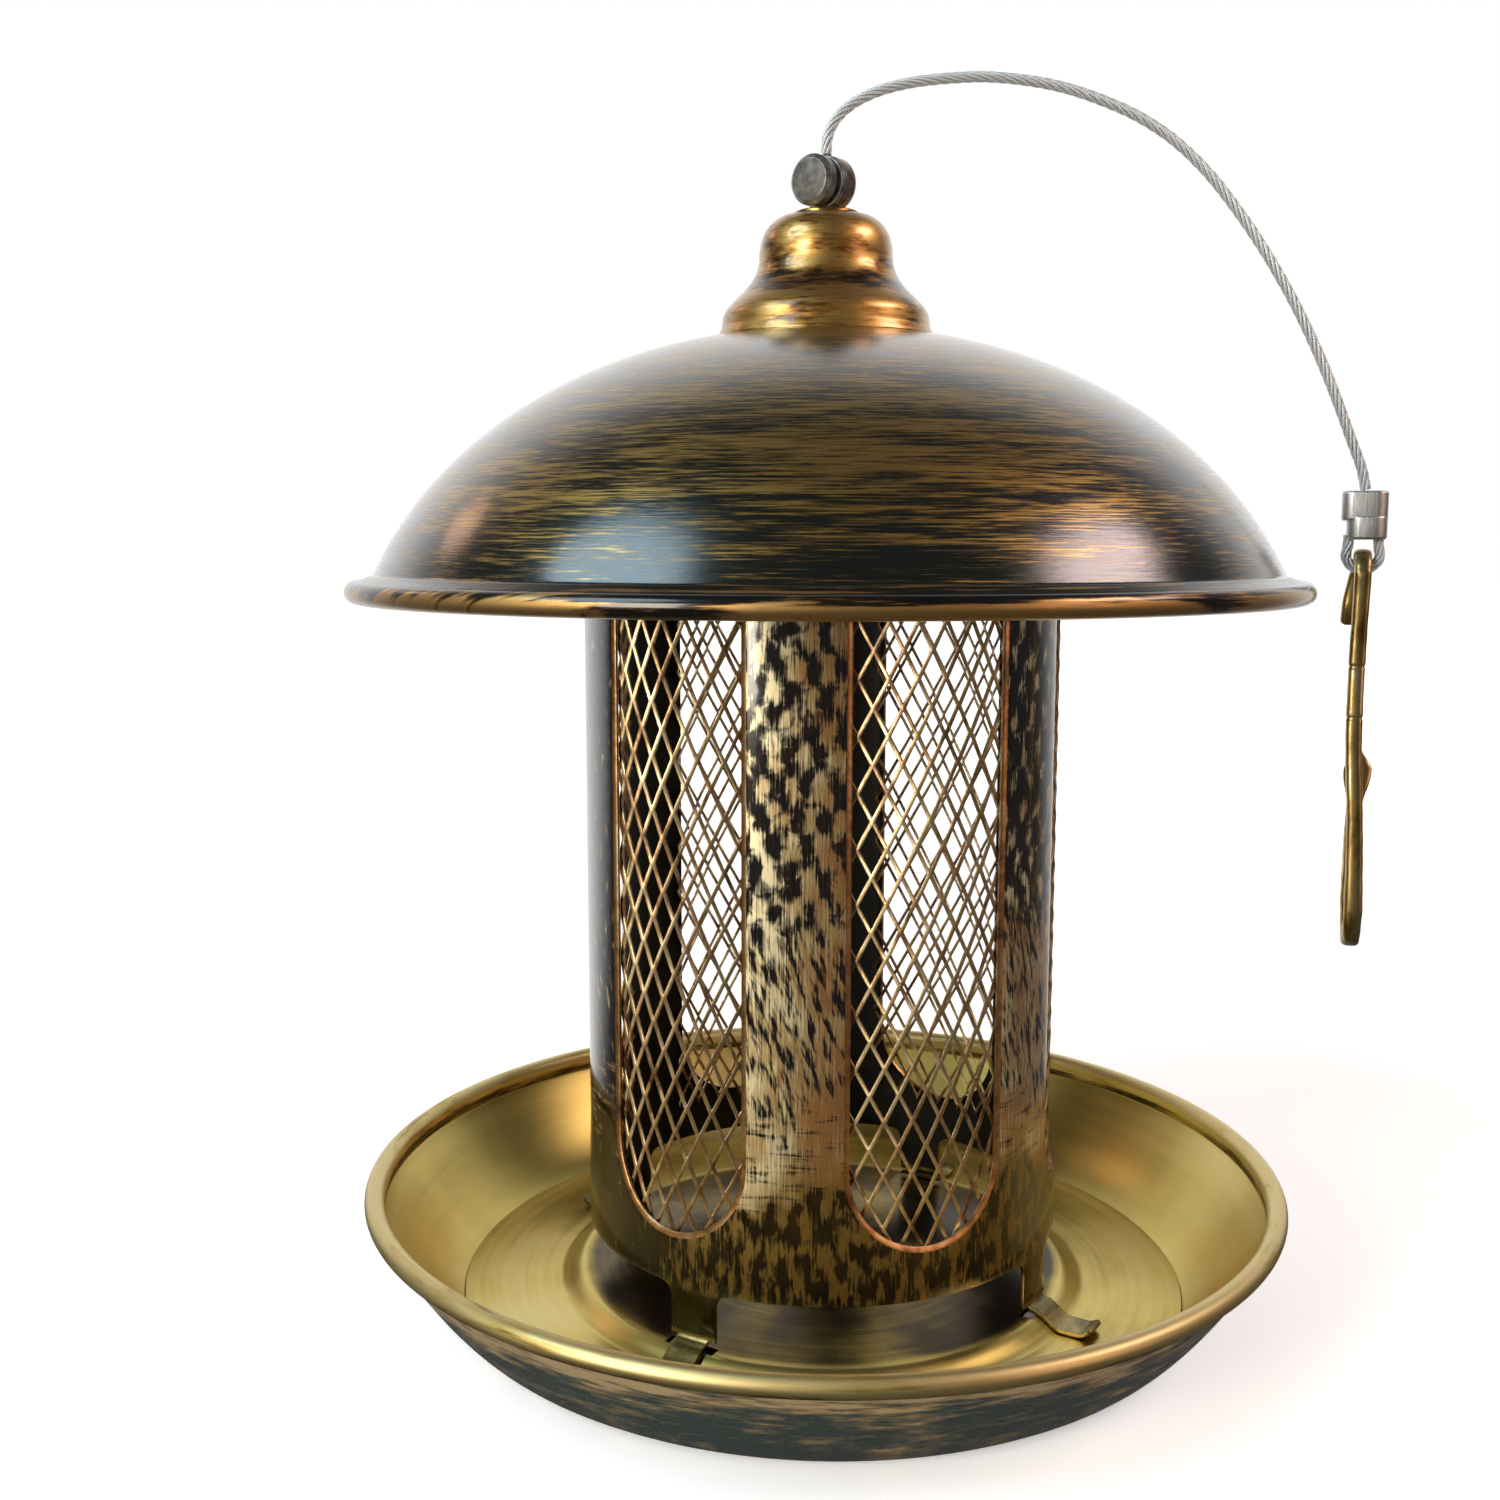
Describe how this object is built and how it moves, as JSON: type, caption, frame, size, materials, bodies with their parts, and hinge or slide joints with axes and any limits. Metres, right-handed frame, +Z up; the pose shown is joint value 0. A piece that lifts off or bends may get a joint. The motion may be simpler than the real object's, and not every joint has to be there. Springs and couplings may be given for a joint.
{
  "type": "mesh bird feeder",
  "caption": "Hanging bird feeder: a seed dish and a windowed mesh cylinder under a domed roof that slides up a steel cable with a push-button lock and an S-hook.",
  "frame": {"origin": "centre of the dish's underside, on the plane of its flat base ring", "axes": "+Z up along the shell and the cable; -Y is the side that the picture shows; the cable comes over towards +X"},
  "size_m": [0.2377, 0.2136, 0.2762],
  "materials": {
    "dish": "steel in a satin antique-brass lacquer",
    "shell": "steel in a brushed antique-bronze lacquer, darker below",
    "strand": "expanded steel in a copper-bronze lacquer",
    "roof": "spun steel, blackened and brushed through to bronze, under a gloss clear coat",
    "finial": "spun steel in a bright antique-gold lacquer",
    "eyelet": "polished",
    "plain_steel": "zinc-plated",
    "crimp": "as extruded, crimped",
    "wire_rope": "galvanised seven-strand rope",
    "lock": "gunmetal plate, bronze tinted",
    "hook": "antique-brass plate on hammered rod"
  },
  "bodies": {
    "root": {"seed_tray": "dish", "shell": "shell", "mesh_panel_1": "strand", "mesh_panel_2": "strand", "mesh_panel_3": "strand", "mesh_panel_4": "strand", "mesh_panel_5": "strand", "mesh_panel_6": "strand", "crossbar": "plain_steel", "crossbar_rivet_1": "plain_steel", "crossbar_rivet_2": "plain_steel", "cable_stop": "crimp", "inner_cable": "wire_rope"},
    "roof": {"roof_dome": "roof", "finial_bell": "finial", "hollow_bolt": "eyelet", "dome_washer": "plain_steel", "dome_nut": "plain_steel"},
    "lock": {"lock_housing": "lock", "lock_spring": "plain_steel", "hanger_cable": "wire_rope", "ferrule": "crimp", "cable_loop": "wire_rope"},
    "button": {"lock_button": "lock"},
    "hook": {"s_hook": "hook"}
  },
  "joints": [
    {"name": "roof_lift", "type": "slide", "parent": "root", "child": "roof", "axis": [0, 0, 1], "range_m": [0, 0.09]},
    {"name": "lock_slide", "type": "slide", "parent": "roof", "child": "lock", "axis": [0, 0, 1], "range_m": [0, 0.06]},
    {"name": "button_press", "type": "slide", "parent": "lock", "child": "button", "axis": [0.6157, 0.788, 0], "range_m": [0, 0.0011], "stiffness_N_per_m": 600, "deforming": ["lock_spring"]},
    {"name": "hook_swing", "type": "hinge", "parent": "lock", "child": "hook", "pos_m": [0.1229, 0, 0.16732], "axis": [0.9511, -0.309, 0], "range_deg": [-60, 60]}
  ]
}
